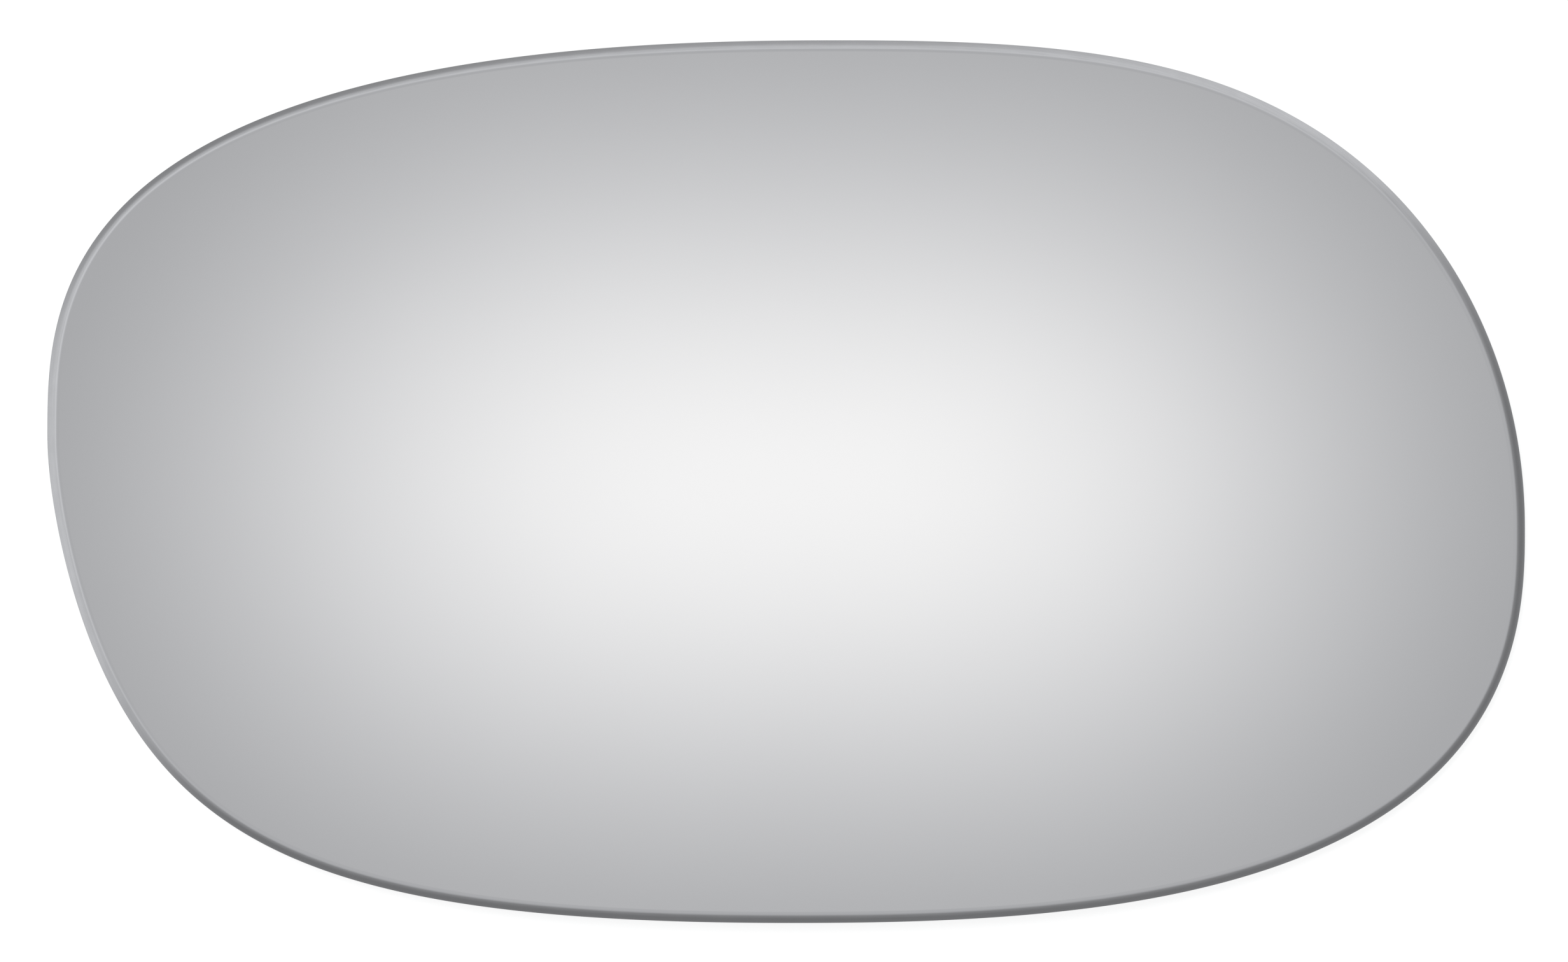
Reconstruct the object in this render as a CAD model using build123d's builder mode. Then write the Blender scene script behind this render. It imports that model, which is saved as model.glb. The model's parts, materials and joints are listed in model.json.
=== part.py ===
"""Convex glass of a car door mirror: one bent pane, cut to a free oval, with a ground edge.

The pane lies on its back with its mirror face up. The origin is on the surface that it lies on, below
the middle of its outline. +X points right and +Y points up, as a driver sees the glass in its door.
"""

import os
from math import sqrt

from build123d import *

# Driving sizes of the pane, in millimetres.
glass_width = 175.0
glass_height = 104.3
glass_thickness = 2.0
bend_radius = 1400.0

# Where each side of the outline stands out furthest, measured from the middle of the glass.
top_crown_x = 7.0
bottom_crown_x = 0.5
left_crown_y = 5.5
right_crown_y = -5.5

# The ground edge: a bevel round the mirror face, eased where it meets the face, and an arris round the back.
bevel_width = 0.85
bevel_depth = 0.4
bevel_easing_radius = 2.0
back_arris = 0.3

half_width = glass_width / 2
half_height = glass_height / 2
right_crown = Vector(half_width, right_crown_y)
left_crown = Vector(-half_width, left_crown_y)
top_crown = Vector(top_crown_x, half_height)
bottom_crown = Vector(bottom_crown_x, -half_height)


def corner_curve(side_crown, end_crown, side_run, end_run, pull_x, pull_y):
    """One quarter of the outline, from the crown of the left or right side to that of the top or bottom.

    The curve leaves each crown along its side, so neighbouring quarters run on smoothly. The four shares
    say how far it is drawn towards the corner of the box round the glass: up or down the side, along the
    top or bottom, and across and up to the point that pulls the corner out.
    """
    across = side_crown.X - end_crown.X
    up = end_crown.Y - side_crown.Y
    return Bezier(
        side_crown,
        side_crown + (0, side_run * up),
        (end_crown.X + pull_x * across, side_crown.Y + pull_y * up),
        end_crown + (end_run * across, 0),
        end_crown,
    )


def bent_faces(pane):
    """The two spherical faces of the pane: first its back, then its mirror face."""
    return pane.faces().filter_by(GeomType.SPHERE).sort_by(Axis.Z)


with BuildPart() as mirror_glass:
    with BuildSketch():
        with BuildLine() as outline:
            corner_curve(right_crown, top_crown, side_run=0.59, end_run=0.49, pull_x=0.70, pull_y=0.94)
            corner_curve(left_crown, top_crown, side_run=0.39, end_run=0.26, pull_x=1.00, pull_y=1.00)
            corner_curve(left_crown, bottom_crown, side_run=0.26, end_run=0.80, pull_x=0.89, pull_y=0.79)
            corner_curve(right_crown, bottom_crown, side_run=0.29, end_run=0.42, pull_x=1.00, pull_y=0.96)
        make_face()

    # The pane rests on the parts of its rim that lie furthest from the middle. The hollow of its back
    # lifts the middle above them by the rise of the bend over that reach.
    rim_steps = 720
    rim = [outline.wire() @ (step / rim_steps) for step in range(rim_steps)]
    seat_reach = max(point.length for point in rim) - back_arris
    back_radius = bend_radius - glass_thickness
    hollow = back_radius - sqrt(back_radius**2 - seat_reach**2)

    # The blank reaches well past the bent pane above and below, and is cut to the two faces of the bend.
    # Each sphere is turned so that its poles and its seam stay away from the glass.
    pane_height = hollow + glass_thickness
    extrude(amount=2 * pane_height, both=True)
    with Locations((0, 0, hollow - back_radius)):
        Sphere(bend_radius, rotation=(90, 0, 0), mode=Mode.INTERSECT)
        Sphere(back_radius, rotation=(90, 0, 0), mode=Mode.SUBTRACT)

    # The edge is ground after the bend: the bevel, its easing into the mirror face, and the back arris.
    mirror_face = bent_faces(mirror_glass)[-1]
    chamfer(mirror_face.edges(), length=bevel_width, length2=bevel_depth, reference=mirror_face)
    fillet(bent_faces(mirror_glass)[-1].edges(), radius=bevel_easing_radius)
    chamfer(bent_faces(mirror_glass)[0].edges(), length=back_arris)

os.makedirs("parts", exist_ok=True)
mirror_glass.part.label = "mirror_glass"
export_step(mirror_glass.part, "parts/mirror_glass.step")
print("hollow of the back", round(hollow, 3), "mm, height", round(pane_height, 3), "mm")
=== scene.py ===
# %% [markdown]
# # The glass of a car door mirror
# On the car this is one pane: sheet glass 2 mm thick, softened and bent to a shallow dome so that the
# driver sees more of the road, cut to a free oval, ground all round its edge and silvered. Here it lies
# on its back with the mirror face up, and the camera looks straight down on it.
#
# A mirror has hardly any look of its own. The eye reads it by its curve, its ground edge and the room
# that it shows. So the lesson has three parts: a clean mesh of the pane, its four finishes, and a studio
# to reflect.
#
# The packed model is loaded first. It stays where it is, and every size below is in metres in its frame.

# %% The packed model
import json
from math import comb, cos, pi, radians, sin

import bpy
import numpy as np
from mathutils.bvhtree import BVHTree
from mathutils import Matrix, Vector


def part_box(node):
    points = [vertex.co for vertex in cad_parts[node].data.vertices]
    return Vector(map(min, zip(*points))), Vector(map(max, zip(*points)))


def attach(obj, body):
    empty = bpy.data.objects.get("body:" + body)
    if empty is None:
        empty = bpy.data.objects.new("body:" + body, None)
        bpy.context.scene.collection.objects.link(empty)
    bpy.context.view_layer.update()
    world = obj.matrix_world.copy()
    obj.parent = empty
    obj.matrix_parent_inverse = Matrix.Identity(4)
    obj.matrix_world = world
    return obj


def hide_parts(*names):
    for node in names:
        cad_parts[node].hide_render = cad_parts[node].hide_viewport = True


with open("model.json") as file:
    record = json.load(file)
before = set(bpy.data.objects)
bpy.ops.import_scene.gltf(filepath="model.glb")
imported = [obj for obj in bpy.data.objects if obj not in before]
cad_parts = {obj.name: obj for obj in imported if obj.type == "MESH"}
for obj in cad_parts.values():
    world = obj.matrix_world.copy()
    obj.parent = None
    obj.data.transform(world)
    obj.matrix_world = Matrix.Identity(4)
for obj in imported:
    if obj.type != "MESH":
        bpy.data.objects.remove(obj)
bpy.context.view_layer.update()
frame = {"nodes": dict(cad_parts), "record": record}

MM = 0.001
low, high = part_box("mirror_glass")
half_width = (high.x - low.x) / 2
half_height = (high.y - low.y) / 2
print(f"the glass is {2 * half_width / MM:.1f} mm wide and {2 * half_height / MM:.1f} mm high")

# %% [markdown]
# ## The outline
# The oval is lopsided, as a glass has to fill its housing: the left end is blunt, the lower left corner
# is drawn in, and the right end is rounder below than above. An ellipse or a rounded box can't say that.
#
# So each quarter is one smooth curve with five control points, from the crown of a side to the crown of
# the top or the bottom. At a crown the curve runs along the box round the glass, and so neighbouring
# quarters meet smoothly. Four shares say how far each quarter is drawn towards its corner of the box.

# %% Four corner curves
TOP_CROWN_X = 7.0 * MM
BOTTOM_CROWN_X = 0.5 * MM
LEFT_CROWN_Y = 5.5 * MM
RIGHT_CROWN_Y = -5.5 * MM


def corner_points(side, end, side_run, end_run, pull_x, pull_y):
    """The five points of a quarter of the outline, from a side's crown to that of the top or the bottom."""
    across = side[0] - end[0]
    up = end[1] - side[1]
    side_reach = (side[0], side[1] + side_run * up)
    pull = (end[0] + pull_x * across, side[1] + pull_y * up)
    end_reach = (end[0] + end_run * across, end[1])
    return [side, side_reach, pull, end_reach, end]


right = (half_width, RIGHT_CROWN_Y)
left = (-half_width, LEFT_CROWN_Y)
top = (TOP_CROWN_X, half_height)
bottom = (BOTTOM_CROWN_X, -half_height)
quarters = [
    corner_points(right, top, side_run=0.59, end_run=0.49, pull_x=0.70, pull_y=0.94),
    corner_points(left, top, side_run=0.39, end_run=0.26, pull_x=1.00, pull_y=1.00)[::-1],
    corner_points(left, bottom, side_run=0.26, end_run=0.80, pull_x=0.89, pull_y=0.79),
    corner_points(right, bottom, side_run=0.29, end_run=0.42, pull_x=1.00, pull_y=0.96)[::-1],
]
print("the outline has", len(quarters), "quarters, and starts at the crown of the right end")

# %% [markdown]
# ## Even steps round the outline
# The mesh below is made of rings that all follow this outline, so its points should be evenly spaced.
# Such a curve isn't walked at an even pace, and so it is first cut finely and then measured out again by
# length. Each point also gets the direction that points straight out of the glass there.

# %% The rim and its outward directions
FINE_STEPS = 600
AROUND = 480


def bezier(points, steps):
    """Points along the curve that these control points draw, without the last one."""
    share = np.linspace(0, 1, steps, endpoint=False)[:, None]
    degree = len(points) - 1
    weights = [comb(degree, k) * share**k * (1 - share) ** (degree - k) for k in range(degree + 1)]
    return sum(weight * np.array(point) for weight, point in zip(weights, points))


fine = np.vstack([bezier(points, FINE_STEPS) for points in quarters])
fine = np.vstack([fine, fine[:1]])
run = np.concatenate([[0], np.cumsum(np.linalg.norm(np.diff(fine, axis=0), axis=1))])
even = np.linspace(0, run[-1], AROUND, endpoint=False)
rim = np.column_stack([np.interp(even, run, fine[:, 0]), np.interp(even, run, fine[:, 1])])
along = np.roll(rim, -1, axis=0) - np.roll(rim, 1, axis=0)
outward = np.column_stack([along[:, 1], -along[:, 0]])
outward /= np.linalg.norm(outward, axis=1)[:, None]
print(f"the rim is {run[-1] / MM:.1f} mm long, in steps of {run[-1] / AROUND / MM:.2f} mm")

# %% [markdown]
# ## The bend
# Both faces of the bent sheet are parts of spheres with one centre, far below the glass. A Simple Deform
# modifier would bend a flat sheet about one axis only, and this glass bends both ways. The record says
# how high the middle of the back stands above the table, and with that the centre is known. One function
# then gives the height of either face at any place, and another its slope towards the outside.

# %% Two spheres with one centre
BEND_RADIUS = 1400 * MM
THICKNESS = 2 * MM
BACK_RADIUS = BEND_RADIUS - THICKNESS
hollow = frame["record"]["mounts"][0]["pos_m"][2]
bend_centre = hollow - BACK_RADIUS


def face_height(radius, place):
    """Height of the sphere of this radius over a place (x, y)."""
    return bend_centre + np.sqrt(radius**2 - (place**2).sum(axis=1))


def face_tilt(radius, place):
    """How far the sphere leans outward at a place near the rim, as an angle from level."""
    reach = (place * outward).sum(axis=1)
    return np.arctan2(reach, face_height(radius, place) - bend_centre)


rim_height = face_height(BEND_RADIUS, rim)
print(f"the middle is {(hollow + THICKNESS) / MM:.2f} mm high, the rim of the mirror face "
      f"{rim_height.min() / MM:.2f} to {rim_height.max() / MM:.2f} mm")

# %% [markdown]
# ## The ground edge
# A wheel grinds a narrow bevel round the mirror face and an arris round the back, and leaves an upright
# land between them. The bevel is eased into the mirror face, which is why the bright face fades into the
# dark edge over most of a millimetre instead of stopping at a line. The other corners are only just
# blunted.
#
# A Bevel modifier could round these corners, but on a bent free-form rim it has to guess its widths. Here
# the section is worked out at every point of the rim. One function rounds a corner: it takes the corner
# point, the tilt of the surface before and after it, and the radius, and gives the points of the arc. A
# tilt of 0 is a level surface that faces up, 90 degrees is the upright land, and 180 degrees faces down.

# %% A rounded corner of the section
BEVEL_WIDTH = 0.85 * MM
BEVEL_DEPTH = 0.4 * MM
BEVEL_EASING_RADIUS = 2.0 * MM
BACK_ARRIS = 0.3 * MM
BLUNT_RADIUS = 0.03 * MM


def rounded_corner(inset, level, tilt_before, tilt_after, radius, steps):
    """Rings of points, each (x, y, z), that round a corner that lies inset from the rim at a level."""
    middle_tilt = (tilt_before + tilt_after) / 2
    back_off = radius / np.cos((tilt_after - tilt_before) / 2)
    centre_out = -inset - back_off * np.sin(middle_tilt)
    centre_up = level - back_off * np.cos(middle_tilt)
    rings = []
    for share in np.linspace(0, 1, steps):
        tilt = tilt_before + share * (tilt_after - tilt_before)
        out = centre_out + radius * np.sin(tilt)
        rings.append(np.column_stack([rim + out[:, None] * outward, centre_up + radius * np.cos(tilt)]))
    return rings


def inside(distance):
    """The rim, drawn in by a distance."""
    return rim - distance * outward


print(f"the bevel falls {BEVEL_DEPTH / MM:.2f} mm over {BEVEL_WIDTH / MM:.2f} mm")

# %% [markdown]
# ## Rings down the section
# The four corners follow from the bend: where the bevel starts on the mirror face, where it meets the
# land, where the land meets the arris, and where the arris meets the back. Joined in this order, their
# arcs leave flat strips between them, and the strips are the bevel, the land and the arris.

# %% From the mirror face over the edge to the back
EASING_RINGS = 17
OUTER_CORNER_RINGS = 5
BACK_CORNER_RINGS = 4

bevel_start = face_height(BEND_RADIUS, inside(BEVEL_WIDTH))
bevel_end = rim_height - BEVEL_DEPTH
arris_start = face_height(BACK_RADIUS, rim) + BACK_ARRIS
arris_end = face_height(BACK_RADIUS, inside(BACK_ARRIS))

mirror_tilt = face_tilt(BEND_RADIUS, inside(BEVEL_WIDTH))
bevel_tilt = np.arctan2(bevel_start - bevel_end, BEVEL_WIDTH)
land_tilt = np.full(AROUND, pi / 2)
arris_tilt = np.arctan2(arris_start - arris_end, -BACK_ARRIS)
back_tilt = pi + face_tilt(BACK_RADIUS, inside(BACK_ARRIS))

easing = rounded_corner(
    BEVEL_WIDTH, bevel_start, mirror_tilt, bevel_tilt, BEVEL_EASING_RADIUS, EASING_RINGS)
outer_corner = rounded_corner(0, bevel_end, bevel_tilt, land_tilt, BLUNT_RADIUS, OUTER_CORNER_RINGS)
land_corner = rounded_corner(0, arris_start, land_tilt, arris_tilt, BLUNT_RADIUS, BACK_CORNER_RINGS)
back_corner = rounded_corner(BACK_ARRIS, arris_end, arris_tilt, back_tilt, BLUNT_RADIUS, BACK_CORNER_RINGS)
edge = easing + outer_corner + land_corner + back_corner
print(f"{len(edge)} rings round the edge; the bevel tilts {np.degrees(bevel_tilt.min()):.1f} to "
      f"{np.degrees(bevel_tilt.max()):.1f} degrees")

# %% [markdown]
# ## The two bent faces
# Inside the edge, each face is the same ring drawn in towards the middle, again and again, and lifted to
# its sphere. A grid of squares would leave a ragged border against the outline, and a mirror shows every
# kink in its normals. Rings of long quads follow the outline all the way in and bend evenly.
#
# Smooth shading averages the normals of neighbouring faces, so the ring at the border would pull the
# easing's tilt into the mirror. One ring set very close to the border keeps that to a hair's width.

# %% Rings across the mirror face and the back
INMOST_RING, OUTMOST_RING = 0.04, 0.97
EVEN_RINGS = 26
CLOSE_RING = 0.998
FACE_RINGS = np.concatenate([np.linspace(INMOST_RING, OUTMOST_RING, EVEN_RINGS), [CLOSE_RING]])


def drawn_in(border, radius, shares):
    """Rings like the border, scaled by shares and laid on the sphere of this radius."""
    rings = []
    for share in shares:
        place = share * border[:, :2]
        rings.append(np.column_stack([place, face_height(radius, place)]))
    return rings


mirror_rings = drawn_in(edge[0], BEND_RADIUS, FACE_RINGS)
back_rings = drawn_in(edge[-1], BACK_RADIUS, FACE_RINGS[::-1])
rings = mirror_rings + edge + back_rings
print(f"{len(mirror_rings)} rings on the mirror face, {len(back_rings)} on the back")

# %% [markdown]
# ## One closed pane
# The rings are skinned with quads, and a point in the middle of each face closes it with a fan. A coarse
# cage under a Subdivision modifier would need fewer points, but it would draw the narrow bevel in.

# %% Skin the rings
columns = np.arange(AROUND)
next_columns = np.roll(columns, -1)
ring_starts = AROUND * np.arange(len(rings))
first, last = ring_starts[0], ring_starts[-1]
mirror_middle = AROUND * len(rings)
back_middle = mirror_middle + 1

middles = [(0, 0, hollow + THICKNESS), (0, 0, hollow)]
points = np.vstack(rings + [middles])
faces = [(mirror_middle, first + a, first + b) for a, b in zip(columns, next_columns)]
for near, far in zip(ring_starts, ring_starts[1:]):
    faces += [(near + a, far + a, far + b, near + b) for a, b in zip(columns, next_columns)]
faces += [(back_middle, last + b, last + a) for a, b in zip(columns, next_columns)]
print(f"the pane has {len(points)} points and {len(faces)} faces")

# %% [markdown]
# Each strip of quads knows between which rings it lies, and that decides its finish: silvered face,
# ground bevel, ground glass on the land and the arris, or the paint on the back. The pane is one piece of
# glass, so it stays one mesh with four material slots.

# %% A finish for each strip
SILVERED, BEVELLED, GROUND, PAINTED = range(4)

bevel_from = len(mirror_rings)
ground_from = bevel_from + len(easing) + len(outer_corner) - 1
painted_from = ground_from + len(land_corner) + len(back_corner)
strips = np.arange(len(rings) - 1)
strip_finish = np.select(
    [strips < bevel_from, strips < ground_from, strips < painted_from], [SILVERED, BEVELLED, GROUND], PAINTED)
finish_of_face = np.repeat(np.concatenate([[SILVERED], strip_finish, [PAINTED]]), AROUND)

mesh = bpy.data.meshes.new("mirror_pane")
mesh.from_pydata(points.tolist(), [], faces)
mesh.polygons.foreach_set("material_index", finish_of_face)
mesh.polygons.foreach_set("use_smooth", np.ones(len(faces), bool))
pane = bpy.data.objects.new("mirror_pane", mesh)
bpy.context.collection.objects.link(pane)
print("strips of each finish:", np.bincount(strip_finish).tolist())

# %% [markdown]
# ## A flat map for baked copies
# The finishes below need no map, as they are worked out from place and normal. A copy for other programs
# has them baked into pictures, though, and a picture has to know where each face lies on it. An automatic
# unwrap shreds the narrow edge. The rings know better: both bent faces are laid flat as they are, and the
# bevel and the ground glass are unrolled to straight bands, drawn out across so that their fine lines
# have room.

# %% Two ways to lay the rings flat
MARGIN = 0.012
BAND_BREADTH = 0.08

steps_across = [np.linalg.norm(far - near, axis=1).mean() for near, far in zip(rings, rings[1:])]
across = np.concatenate([[0], np.cumsum(steps_across)])
along_band = np.linspace(MARGIN, 1 - MARGIN, AROUND + 1)


def laid_flat(scale, middle):
    """The rings as seen from above, one column longer so that they close."""
    flat = [np.array(middle) + scale * ring[:, :2] for ring in rings]
    return [np.vstack([ring, ring[:1]]) for ring in flat]


def unrolled(finish, base):
    """The rings as level lines, so spaced that the strips of one finish fill a band above its base."""
    own = np.flatnonzero(strip_finish == finish)
    start, end = across[own[0]], across[own[-1] + 1]
    heights = base + BAND_BREADTH * (across - start) / (end - start)
    return [np.column_stack([along_band, np.full(AROUND + 1, height)]) for height in heights]


edge_breadth = across[-len(back_rings) - 1] - across[len(mirror_rings)]
print(f"unrolled, the edge is {edge_breadth / MM:.2f} mm broad")

# %% [markdown]
# On the map the two bands lie lowest, the back above them and the mirror face at the top, at the largest
# scale. Each face of the mesh then takes its corners from the layout of its own finish.

# %% The map
MAP_NAME = "OFBake"      # the map that the library bakes through
MAP_MIDDLE = 0.5
MIRROR_SCALE = 4.8
BACK_SCALE = 2.6

bands_top = 2 * (MARGIN + BAND_BREADTH)
back_place = (MAP_MIDDLE, bands_top + MARGIN + BACK_SCALE * half_height)
mirror_place = (MAP_MIDDLE, 1 - MARGIN - MIRROR_SCALE * half_height)
laid = {
    SILVERED: laid_flat(MIRROR_SCALE, mirror_place),
    BEVELLED: unrolled(BEVELLED, MARGIN),
    GROUND: unrolled(GROUND, 2 * MARGIN + BAND_BREADTH),
    PAINTED: laid_flat(BACK_SCALE, back_place),
}
mirror_inmost, back_inmost = laid[SILVERED][0], laid[PAINTED][-1]
corners = [np.stack([np.tile(mirror_place, (AROUND, 1)), mirror_inmost[:-1], mirror_inmost[1:]], axis=1)]
for strip, finish in enumerate(strip_finish):
    near, far = laid[finish][strip], laid[finish][strip + 1]
    corners.append(np.stack([near[:-1], far[:-1], far[1:], near[1:]], axis=1))
corners.append(np.stack([np.tile(back_place, (AROUND, 1)), back_inmost[1:], back_inmost[:-1]], axis=1))
flat_map = np.vstack([corner.reshape(-1, 2) for corner in corners])
mesh.uv_layers.new(name=MAP_NAME).data.foreach_set("uv", flat_map.ravel())
print(f"the map runs from {flat_map.min():.3f} to {flat_map.max():.3f} for {len(flat_map)} corners")

# %% [markdown]
# ## Does it keep the solid's form?
# The pane takes the place of the packed solid, so each of its points should lie on that solid's surface.
# The solid is made of flat triangles that cut a little inside its true curve, and so a gap of a few
# hundredths of a millimetre is expected, and no more. The pane then rides on the body and hides the
# solid.

# %% Measure against the solid, then take its place
solid = frame["nodes"]["mirror_glass"]
surface = BVHTree.FromObject(solid, bpy.context.evaluated_depsgraph_get())
gaps = [surface.find_nearest(vertex.co)[3] for vertex in mesh.vertices]
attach(pane, "root")
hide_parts("mirror_glass")
print(f"furthest point from the solid: {max(gaps) / MM:.3f} mm")

# %% [markdown]
# ## Shader sums as plain arithmetic
# Each finish below is a small sum over noise and place. Written with nodes, a sum of five terms is twenty
# lines of links. This class wraps an output socket, so that plain arithmetic on it adds the Math nodes,
# and `1 - mask` works as well as `mask * 0.5`.

# %% The socket class
class Wire:
    """An output socket of a node tree. Arithmetic on it adds Math nodes."""

    def __init__(self, socket):
        self.socket = socket

    def out(self, name):
        """Another output of the same node."""
        return Wire(self.socket.node.outputs[name])

    def math(self, operation, *others, swap=False):
        """Adds a Math node with this wire as its first term, or as its last one when swapped."""
        terms = (*others, self) if swap else (self, *others)
        settings = {"operation": operation}
        return add_node(self.socket.id_data, "ShaderNodeMath", settings, dict(enumerate(terms)))

    def __add__(self, other):
        return self.math("ADD", other)

    __radd__ = __add__

    def __sub__(self, other):
        return self.math("SUBTRACT", other)

    def __rsub__(self, other):
        return self.math("SUBTRACT", other, swap=True)

    def __mul__(self, other):
        return self.math("MULTIPLY", other)

    __rmul__ = __mul__

    def __truediv__(self, other):
        return self.math("DIVIDE", other)

    def __pow__(self, other):
        return self.math("POWER", other)

    def __neg__(self):
        return self.math("MULTIPLY", -1)

    def __abs__(self):
        return self.math("ABSOLUTE")

    def exp(self):
        return self.math("EXPONENT")


print("a wire knows:", ", ".join(name.strip("_") for name, entry in vars(Wire).items() if callable(entry)))

# %% [markdown]
# Every other node comes from one function, which sets the node's settings first, because some of them
# change which sockets are in use, and then fills its sockets with values or links.

# %% One function for all nodes
def add_node(tree, kind, settings=None, sockets=None):
    """Adds a node, sets its settings, fills its sockets with values or links, and gives its first output."""
    node = tree.nodes.new(kind)
    for name, value in (settings or {}).items():
        setattr(node, name, value)
    for name, value in (sockets or {}).items():
        fill(node.inputs[name], value)
    return Wire(node.outputs[0])


def fill(socket, value):
    """Links a wire to an input socket, or sets a plain value on it."""
    if isinstance(value, Wire):
        socket.id_data.links.new(value.socket, socket)
    else:
        socket.default_value = value


print("helpers for nodes:", add_node.__name__, "and", fill.__name__)

# %% [markdown]
# ## What the finishes share
# All four finishes start from a Principled shader, most with a few fixed values, and vary over the
# surface by noise. The noise reads the pane's own coordinates, in metres, so a scale of 1 / (3 mm) gives
# blotches of about 3 mm. A stretch along one axis turns the blotches into streaks. A smooth step, from a
# Map Range node, makes a soft border out of any measure.

# %% Helpers for a finish
COLOUR_A, COLOUR_B, COLOUR_RESULT = 6, 7, 2      # a Mix node's sockets for colours
NOISE_DETAIL = 3.0


def new_finish(name, fixed):
    """A material with a Principled shader whose fixed values are set, in the pane's next slot."""
    material = bpy.data.materials.new(name)
    material.use_nodes = True
    shader = material.node_tree.nodes["Principled BSDF"]
    for socket, value in fixed.items():
        shader.inputs[socket].default_value = value
    mesh.materials.append(material)
    return material.node_tree, shader


def blotches(tree, size, stretch=(1, 1, 1)):
    """Noise from 0 to 1 with blotches of a size in metres, drawn out along an axis by its stretch."""
    place = add_node(tree, "ShaderNodeTexCoord").out("Object")
    scale = [1 / (size * factor) for factor in stretch]
    scaled = add_node(tree, "ShaderNodeVectorMath", {"operation": "MULTIPLY"}, {0: place, 1: scale})
    sockets = {"Vector": scaled, "Scale": 1.0, "Detail": NOISE_DETAIL}
    return add_node(tree, "ShaderNodeTexNoise", sockets=sockets)


def between(tree, share, one, other):
    """The colour that lies a share of the way from one colour to another."""
    ends = {"Factor": share, COLOUR_A: (*one, 1), COLOUR_B: (*other, 1)}
    return add_node(tree, "ShaderNodeMix", {"data_type": "RGBA"}, ends).out(COLOUR_RESULT)


def smooth_step(tree, value, zero_at, one_at):
    """Rises smoothly from 0 to 1 between two values."""
    ends = {"Value": value, "From Min": zero_at, "From Max": one_at}
    return add_node(tree, "ShaderNodeMapRange", {"interpolation_type": "SMOOTHSTEP"}, ends)


print("finishes so far:", len(mesh.materials))

# %% [markdown]
# ## The silvered face
# The silver throws back about nine tenths of the light, without colour. A full metal with a very low
# roughness does that, and the clear coat stands for the front of the glass, which shines more the flatter
# it is seen. A mirror with no flaw at all looks like a hole in the picture, so faint clouds and the
# streaks of a wiping cloth change the roughness, far too little to blur what it shows.

# %% Silver under glass
CLEAR_SILVER = (0.898, 0.898, 0.898)
HAZY_SILVER = (0.882, 0.882, 0.882)
CLOUD_SIZE = 18 * MM
WIPE_BREADTH = 0.9 * MM
WIPE_STRETCH = (40, 3, 3)
FACE_ROUGHNESS = 0.012
CLOUD_BLUR = 0.014
WIPE_BLUR = 0.012

tree, shader = new_finish("silvered_face", {"Metallic": 1.0, "Coat Weight": 1.0, "Coat Roughness": 0.0})
clouds = blotches(tree, CLOUD_SIZE)
wiped = blotches(tree, WIPE_BREADTH, WIPE_STRETCH)
fill(shader.inputs["Base Color"], between(tree, clouds, CLEAR_SILVER, HAZY_SILVER))
fill(shader.inputs["Roughness"], FACE_ROUGHNESS + CLOUD_BLUR * clouds + WIPE_BLUR * wiped)
print("slot", len(mesh.materials) - 1, mesh.materials[-1].name)

# %% [markdown]
# ## The ground bevel
# The bevel is polished after grinding, but never as well as the face. Next to the face it is still a
# clear mirror, and further out the wheel has left it more and more satin and dull. How far it is ground
# goes with how far the surface leans, and the upright part of its normal tells that. The wheel also
# leaves fine lines along the edge. The rim is nearly level, and so noise that is tight in height and
# drawn out along X and Y gives lines that follow the edge closely, without any unwrapping.

# %% Satin bevel
GROUND_SILVER = (0.501, 0.501, 0.501)
GRINDING_START_LEAN = radians(5)
FULLY_GROUND_LEAN = radians(16.3)
BEVEL_LINE_BREADTH = 0.05 * MM
BEVEL_LINE_STRETCH = (160, 160, 1)
CHATTER_SIZE = 2.5 * MM
EVEN_DULLNESS, LINE_DULLNESS, CHATTER_DULLNESS = 0.70, 0.24, 0.16
EASED_ROUGHNESS = 0.03
EVEN_SATIN, LINE_SATIN, CHATTER_SATIN = 0.07, 0.10, 0.06

tree, shader = new_finish("ground_bevel", {"Metallic": 1.0})
normal = add_node(tree, "ShaderNodeTexCoord").out("Normal")
upright = add_node(tree, "ShaderNodeSeparateXYZ", sockets={"Vector": normal}).out("Z")
grinding = smooth_step(tree, 1 - upright, 1 - cos(GRINDING_START_LEAN), 1 - cos(FULLY_GROUND_LEAN))
wheel_lines = blotches(tree, BEVEL_LINE_BREADTH, BEVEL_LINE_STRETCH)
chatter = blotches(tree, CHATTER_SIZE)
dulled = grinding * (EVEN_DULLNESS + LINE_DULLNESS * wheel_lines + CHATTER_DULLNESS * chatter)
satin = grinding * (EVEN_SATIN + LINE_SATIN * wheel_lines + CHATTER_SATIN * chatter)
fill(shader.inputs["Base Color"], between(tree, dulled, CLEAR_SILVER, GROUND_SILVER))
fill(shader.inputs["Roughness"], EASED_ROUGHNESS + satin)
print("slot", len(mesh.materials) - 1, mesh.materials[-1].name)

# %% [markdown]
# ## Ground glass on the land and the arris
# The upright land and the arris at the back are left as the wheel leaves them: frosted, pale and a little
# green, because there one looks into the length of the glass. The lines of the wheel are coarser here,
# and small chips along the grinding show as paler specks. A shader that lets light through would be
# closer to glass, but on so narrow a strip a pale, rough surface looks the same, and it can be baked.

# %% Frosted edge
FROST_PALE = (0.66, 0.72, 0.70)
FROST_DEEP = (0.44, 0.53, 0.50)
LAND_LINE_BREADTH = 0.08 * MM
LAND_LINE_STRETCH = (120, 120, 1)
SPECK_SIZE = 0.35 * MM
SPECK_RARITY = 3
LINE_PALENESS, SPECK_PALENESS = 0.7, 1.2
FROST_ROUGHNESS = 0.38
LINE_ROUGHNESS = 0.22

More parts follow.
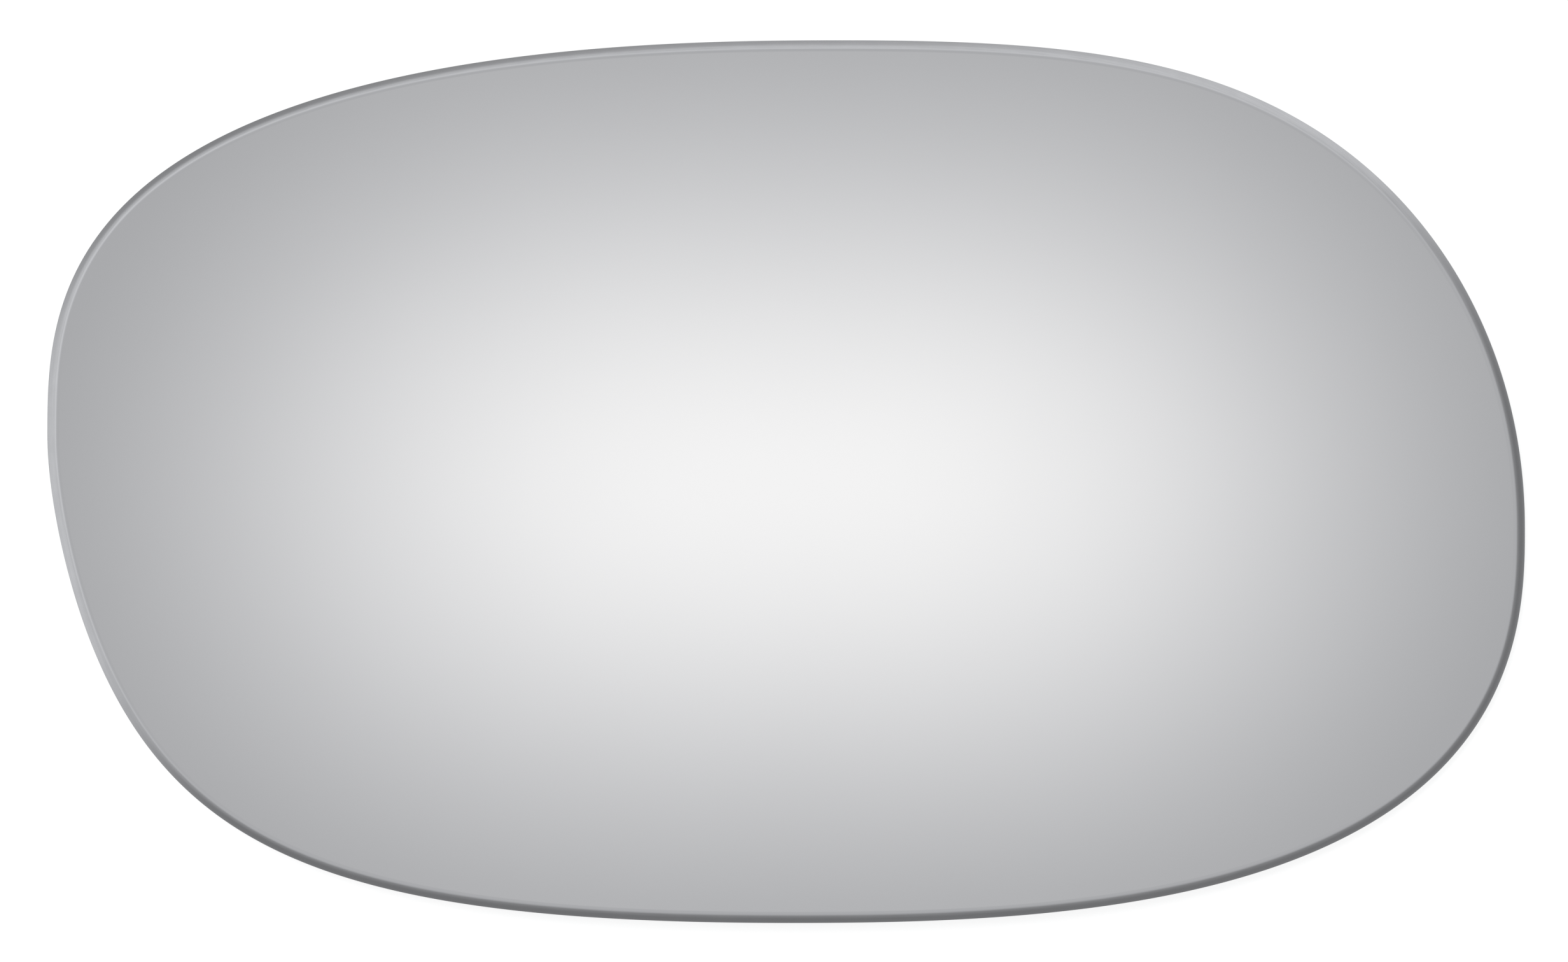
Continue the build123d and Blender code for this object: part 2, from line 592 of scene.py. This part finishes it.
tree, shader = new_finish("ground_glass", {"Specular IOR Level": 0.5, "IOR": 1.52})
wheel_lines = blotches(tree, LAND_LINE_BREADTH, LAND_LINE_STRETCH)
specks = blotches(tree, SPECK_SIZE) ** SPECK_RARITY
paleness = LINE_PALENESS * wheel_lines + SPECK_PALENESS * specks
fill(shader.inputs["Base Color"], between(tree, paleness, FROST_DEEP, FROST_PALE))
fill(shader.inputs["Roughness"], FROST_ROUGHNESS + LINE_ROUGHNESS * wheel_lines)
print("slot", len(mesh.materials) - 1, mesh.materials[-1].name)

# %% [markdown]
# ## Paint on the back
# Grey paint keeps the silver from tarnishing. It is poured or sprayed on and left as it dries: satin,
# with soft clouds where it lies thicker and a fine grain. One even colour would look like plastic when
# the glass is turned over, so two sizes of noise change the colour and the roughness a little.

# %% Protective paint
PAINT_THICK = (0.120, 0.126, 0.132)
PAINT_THIN = (0.170, 0.176, 0.182)
PAINT_CLOUD_SIZE = 22 * MM
PAINT_GRAIN_SIZE = 0.6 * MM
CLOUD_THINNESS, GRAIN_THINNESS = 0.7, 0.3
PAINT_ROUGHNESS = 0.42
CLOUD_ROUGHNESS, GRAIN_ROUGHNESS = 0.10, 0.12

tree, shader = new_finish("back_paint", {})
clouds = blotches(tree, PAINT_CLOUD_SIZE)
grain = blotches(tree, PAINT_GRAIN_SIZE)
thinness = CLOUD_THINNESS * clouds + GRAIN_THINNESS * grain
fill(shader.inputs["Base Color"], between(tree, thinness, PAINT_THICK, PAINT_THIN))
fill(shader.inputs["Roughness"], PAINT_ROUGHNESS + CLOUD_ROUGHNESS * clouds + GRAIN_ROUGHNESS * grain)
print("slots:", [material.name for material in mesh.materials])

# %% [markdown]
# ## The table
# The glass lies on a plain white table. To the camera, and to the mirror, the table is a white ground, so
# most of what they see of it shines by itself. The rest is ordinary white paint that takes light and
# shadow. That keeps the thin shadow beside the glass, and no lamp has to be turned up to make the table
# white.

# %% White table
TABLE_HALF = 4.0
TABLE_PAINT = (0.85, 0.85, 0.85, 1)
OWN_SHINE = 0.77
OWN_LIGHT = 1.115

table_mesh = bpy.data.meshes.new("table")
table_corners = [(-TABLE_HALF, -TABLE_HALF, 0), (TABLE_HALF, -TABLE_HALF, 0),
                 (TABLE_HALF, TABLE_HALF, 0), (-TABLE_HALF, TABLE_HALF, 0)]
table_mesh.from_pydata(table_corners, [], [(0, 1, 2, 3)])
table = bpy.data.objects.new("table", table_mesh)
bpy.context.collection.objects.link(table)

white = bpy.data.materials.new("white_table")
white.use_nodes = True
tree = white.node_tree
ray = add_node(tree, "ShaderNodeLightPath").out("Is Camera Ray")
seen = ray.math("MAXIMUM", ray.out("Is Glossy Ray")).math("MAXIMUM", ray.out("Is Transmission Ray"))
paint = add_node(tree, "ShaderNodeBsdfDiffuse", sockets={"Color": TABLE_PAINT})
shine = add_node(tree, "ShaderNodeEmission", sockets={"Strength": OWN_LIGHT})
mixed = add_node(tree, "ShaderNodeMixShader", sockets={0: OWN_SHINE * seen, 1: paint, 2: shine})
fill(tree.nodes["Material Output"].inputs["Surface"], mixed)
table_mesh.materials.append(white)
print(f"the table shines by {OWN_SHINE:.0%} and takes shadow by {1 - OWN_SHINE:.0%}")

# %% [markdown]
# ## The studio
# This is where a mirror gets its look. Straight overhead hangs a long soft lamp, and the slightly bent
# face shows it as an oval glow. Towards the right and the front the room falls into shade, and the bevel
# there turns dark. At the back left stands a pale arch: the bevel shows its two legs as the bright
# stretches at the left and the upper right, and the easing shows its top as the fine bright line between
# them. Near the horizon the room is pale all round.
#
# Lamps and white cards could stand round the glass, but they would be in the way of every other view. A
# world shader can be painted by direction alone, so the whole studio is one sum. Its coordinates are the
# sides of a direction of length one: how far it goes to the right, to the back and up. Near the zenith,
# the first two are almost angles.

# %% The direction of each ray
scene = bpy.context.scene
studio = bpy.data.worlds.new("studio")
studio.use_nodes = True
scene.world = studio
tree = studio.node_tree
toward = add_node(tree, "ShaderNodeTexCoord").out("Generated")
sides = add_node(tree, "ShaderNodeSeparateXYZ", sockets={"Vector": toward})
to_right, to_back, to_up = sides, sides.out("Y"), sides.out("Z")
print("the studio is painted by", [output.name for output in sides.socket.node.outputs])

# %% [markdown]
# The overhead lamp is a glow that falls off at its own pace along its length and across it.

# %% The overhead glow
GLOW_LENGTH = 0.169
GLOW_BREADTH = 0.102
LENGTH_FALL = 2.68
BREADTH_FALL = 1.93
GLOW_BORDER = 0.361

fall = (abs(to_right) / GLOW_LENGTH) ** LENGTH_FALL + (abs(to_back) / GLOW_BREADTH) ** BREADTH_FALL
lamp = (-fall).exp()
glow = GLOW_BORDER + (1 - GLOW_BORDER) * lamp
print(f"the glow falls from 1 to {GLOW_BORDER}")

# %% [markdown]
# The arch is a soft half ring about one level direction, towards the back left. How far a ray leans that
# way is the cosine of its angle to that direction, and the arch is bright where this lean is near a
# chosen value.

# %% The arch
ARCH_SIDE = radians(122.8)
ARCH_LEAN = 0.37
ARCH_BREADTH = 0.416
ARCH_FALL = 2.83

lean = cos(ARCH_SIDE) * to_right + sin(ARCH_SIDE) * to_back
arch = (-((abs(lean - ARCH_LEAN) / ARCH_BREADTH) ** ARCH_FALL)).exp()
print(f"the arch is {np.degrees(np.arccos(ARCH_LEAN)):.0f} degrees from its middle line")

# %% [markdown]
# All this is blended by height: the glow overhead, the room and the arch below it, and the pale horizon
# lowest. The lamp is white, and the rest of the room is a little cooler.

# %% Blend from the zenith to the horizon
ARCH_START, ARCH_FULL = 0.285, 0.624
ROOM_START, ROOM_FULL = 0.40, 0.90
HORIZON_TOP = 0.46
HORIZON_FULL = 0.10
GLOW_EDGE_LIGHT = 0.449
ARCH_LIGHT = 0.938
ROOM_LIGHT = 0.273
HORIZON_LIGHT = 0.85
COOL_ROOM = (0.989, 1.0, 1.035)
WHITE_LAMP = (1.003, 1.0, 1.002)

from_zenith = (1 - to_up * to_up) ** 0.5
room_share = smooth_step(tree, from_zenith, ROOM_START, ROOM_FULL)
arch_share = arch * smooth_step(tree, from_zenith, ARCH_START, ARCH_FULL)
horizon_share = 1 - smooth_step(tree, to_up, HORIZON_FULL, HORIZON_TOP)
overhead = glow.math("MAXIMUM", GLOW_EDGE_LIGHT)
room = overhead + room_share * (ROOM_LIGHT - overhead)
upper = room + arch_share * (ARCH_LIGHT - room)
light = upper + horizon_share * (HORIZON_LIGHT - upper)
tint = between(tree, lamp, COOL_ROOM, WHITE_LAMP)
fill(tree.nodes["Background"].inputs["Color"], tint)
fill(tree.nodes["Background"].inputs["Strength"], light)
print("nodes in the studio:", len(tree.nodes))

# %% [markdown]
# ## A soft key lamp
# The painted room alone gives little more than half of a plain level of light, at which a colour renders
# about as it is written. A broad lamp from the back left brings the rest and throws the faint shadow to
# the lower right. The mirror already has the room to show, so this lamp is kept out of reflections.

# %% Key lamp
KEY_SIDE = radians(132)
KEY_LIFT = radians(66)
KEY_STRENGTH = 1.45
KEY_SPREAD = radians(22)

key_data = bpy.data.lights.new("key", "SUN")
key_data.energy = KEY_STRENGTH
key_data.angle = KEY_SPREAD
key = bpy.data.objects.new("key", key_data)
key.rotation_euler = (0, pi / 2 - KEY_LIFT, KEY_SIDE)
key.visible_glossy = False
bpy.context.collection.objects.link(key)
print(f"the key lamp stands {np.degrees(KEY_LIFT):.0f} degrees high")

# %% [markdown]
# ## The camera
# The photograph looks straight down through a long lens. The width of the glass in it, in pixels, gives
# the scale, and with the lens that gives the distance. The glass is a few pixels off the middle of the
# frame, and the camera's shift moves it there without tilting the view.

# %% Camera over the glass
PHOTO_WIDTH, PHOTO_HEIGHT = 2464, 1511
GLASS_LEFT, GLASS_RIGHT = 74.3, 2396.4
GLASS_TOP, GLASS_BOTTOM = 63.2, 1449.9
LENS_MM = 180
SENSOR_MM = 36

pixel = 2 * half_width / (GLASS_RIGHT - GLASS_LEFT)
distance = pixel * PHOTO_WIDTH * LENS_MM / SENSOR_MM
camera_data = bpy.data.cameras.new("camera")
camera_data.lens = LENS_MM
camera_data.sensor_width = SENSOR_MM
camera_data.shift_x = (PHOTO_WIDTH - GLASS_LEFT - GLASS_RIGHT) / 2 / PHOTO_WIDTH
camera_data.shift_y = (GLASS_TOP + GLASS_BOTTOM - PHOTO_HEIGHT) / 2 / PHOTO_WIDTH
camera = bpy.data.objects.new("camera", camera_data)
camera.location = (0, 0, bevel_end.min() + distance)
bpy.context.collection.objects.link(camera)
scene.camera = camera
scene.view_settings.view_transform = "Standard"
print(f"the camera is {distance:.3f} m above the rim, at {pixel / MM:.4f} mm a pixel")

# %% [markdown]
# The dressed glass should fill the same box as the packed solid.
